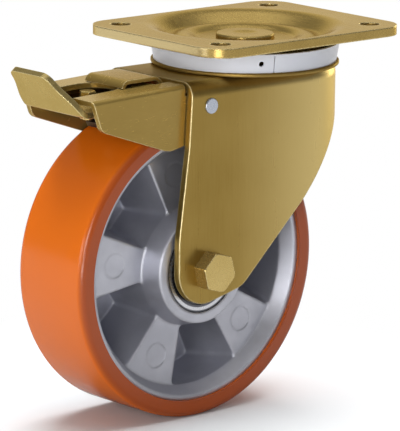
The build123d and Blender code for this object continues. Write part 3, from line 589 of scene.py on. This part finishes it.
# half the strip's thickness, square to that line, leads to its two faces, and each ring has four corners
along_x, along_z = np.gradient(line_x), np.gradient(line_z)
along_x[-2:], along_z[-2:] = -1.0, 0.0
length = np.hypot(along_x, along_z)
out_x, out_z = -along_z / length * strip_thick / 2, along_x / length * strip_thick / 2
face_side = np.array([1, -1, -1, 1])
across = np.array([1, 1, -1, -1]) * strip_half
ring_x = line_x[:, None] + face_side * out_x[:, None]
ring_z = line_z[:, None] + face_side * out_z[:, None]
strip_rings = np.stack([ring_x, np.broadcast_to(across, ring_x.shape), ring_z], axis=-1)
shoe_strip = closed_rings("shoe_strip", strip_rings)
shoe_strip.data.materials.append(shoe_steel_shaded)
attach(shoe_strip, "pedal")
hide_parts("brake_shoe")

# ---------------------------------------------------------------- floor
# A wide pale floor under the wheel, not part of the castor. Near the wheel it is lit like the rest and keeps
# the shadow; further off it is plain white. It is paler to the camera than in the light it throws back.

floor_level = axle_z - tyre_radius
floor_half = 20.0
white_from, white_to = 0.06, 0.21
floor_thrown = (0.4, 0.4, 0.4, 1.0)
floor_seen = (0.74, 0.755, 0.77, 1.0)
white = (1.0, 1.0, 1.0, 1.0)

floor_mesh = bpy.data.meshes.new("floor")
floor_signs = [(-1, -1), (1, -1), (1, 1), (-1, 1)]
floor_corners = [(x * floor_half, y * floor_half, floor_level) for x, y in floor_signs]
floor_mesh.from_pydata(floor_corners, [], [(0, 1, 2, 3)])
floor = bpy.data.objects.new("floor", floor_mesh)
bpy.context.scene.collection.objects.link(floor)

floor_white, tree, shader, place = new_material("floor_white")
tree.nodes.remove(shader)
from_contact = reckon_vectors(tree, "SUBTRACT", place, (axle_x, 0.0, floor_level))
reach = reckon_vectors(tree, "LENGTH", from_contact)
away = spread(tree, reach, white_from, white_to, smooth=True)
ray = put(tree, "LightPath").outputs
seen = reckon(tree, "MAXIMUM", ray["Is Camera Ray"], ray["Is Glossy Ray"])
seen = reckon(tree, "MAXIMUM", seen, ray["Is Transmission Ray"])
white_share = reckon(tree, "MULTIPLY", away, seen)
tone = blend(tree, ray["Is Camera Ray"], floor_thrown, floor_seen)
lit = put(tree, "BsdfDiffuse", {"Color": tone}).outputs[0]
plain = put(tree, "Emission", {"Color": white, "Strength": 1.0}).outputs[0]
mixed = put(tree, "MixShader", {0: white_share, 1: lit, 2: plain}).outputs[0]
fill(tree, tree.nodes["Material Output"], {"Surface": mixed})
floor_mesh.materials.append(floor_white)

# ---------------------------------------------------------------- studio light
# Soft light from five panels, in a dim even surround. A bright patch behind the castor and a bright ceiling
# give the plating something pale to reflect.

surround_glow = 0.18
patch_way, patch_from, patch_to, patch_glow = (0.656, 0.755, 0.0), 0.72, 0.95, 0.76
ceiling_from, ceiling_to, ceiling_glow = 0.72, 0.95, 0.85

world = bpy.data.worlds.new("studio")
bpy.context.scene.world = world
world.use_nodes = True
tree = world.node_tree
tree.nodes.clear()
way = put(tree, "TexCoord").outputs["Generated"]
upwards = put(tree, "SeparateXYZ", {0: way}).outputs["Z"]
behind = reckon_vectors(tree, "DOT_PRODUCT", way, patch_way)
patch = spread(tree, behind, patch_from, patch_to, 0.0, patch_glow, smooth=True)
ceiling = spread(tree, upwards, ceiling_from, ceiling_to, 0.0, ceiling_glow, smooth=True)
glow = reckon(tree, "ADD", reckon(tree, "MAXIMUM", patch, ceiling), surround_glow)
backdrop = put(tree, "Background", {"Color": white, "Strength": glow}).outputs[0]
put(tree, "OutputWorld", {"Surface": backdrop})


def panel(name, place, aim, size, power):
    """A rectangular soft light at a place, turned to face a point."""
    lamp = bpy.data.lights.new(name, "AREA")
    lamp.shape = "RECTANGLE"
    lamp.size, lamp.size_y = size
    lamp.energy = power
    holder = bpy.data.objects.new(name, lamp)
    bpy.context.scene.collection.objects.link(holder)
    holder.location = place
    holder.rotation_mode = "QUATERNION"
    holder.rotation_quaternion = (Vector(aim) - Vector(place)).to_track_quat("-Z", "Y")
    return holder


middle = (-0.04, 0.0, -0.1)
panel("key_left", (-1.5, 0.2, 0.12), middle, (0.9, 0.4), 4.5)
panel("front", (-1.25, -0.85, 0.28), middle, (0.5, 0.4), 6.2)
panel("front_low", (-0.585, -0.5, -0.14), (-0.07, -0.05, 0.0), (0.3, 0.1), 0.9)
panel("right", (1.4, 0.25, 0.1), middle, (0.5, 0.8), 5.0)

# the widest panel lights the upper faces and is kept out of their reflections
overhead = panel("overhead", (0.25, 0.2, 1.5), middle, (1.5, 1.5), 47.0)
overhead.visible_glossy = False

# ---------------------------------------------------------------- camera
# A long lens two metres away and a third of a metre above the plate, aimed at the middle of the castor.
# It stands on the bolt head's side, beyond the plate's corner over the wheel.

picture_width, picture_height = 400, 431
view_azimuth, view_elevation, view_roll = math.radians(-41.1277), math.radians(12.1438), math.radians(0.6281)
view_distance = 2.065307
view_offset = (-0.0073597, -0.0016465)
focal_pixels = 3914.109
view_target = Vector(middle)

back = Vector(
    (
        math.sin(view_azimuth) * math.cos(view_elevation),
        -math.cos(view_azimuth) * math.cos(view_elevation),
        math.sin(view_elevation),
    )
)
level = Vector((math.cos(view_azimuth), math.sin(view_azimuth), 0.0))
upright = back.cross(level)
side = math.cos(view_roll) * level + math.sin(view_roll) * upright
top = math.cos(view_roll) * upright - math.sin(view_roll) * level

lens = bpy.data.cameras.new("camera")
lens.sensor_width = 36.0
lens.lens = focal_pixels / max(picture_width, picture_height) * lens.sensor_width
lens.clip_start, lens.clip_end = 0.05, 100.0
camera = bpy.data.objects.new("camera", lens)
bpy.context.scene.collection.objects.link(camera)
turn = Matrix((side, top, back)).transposed()
camera.rotation_mode = "QUATERNION"
camera.rotation_quaternion = turn.to_quaternion()
camera.location = view_target + view_distance * back - view_offset[0] * side - view_offset[1] * top
bpy.context.scene.camera = camera

bpy.context.scene.view_settings.view_transform = "Standard"
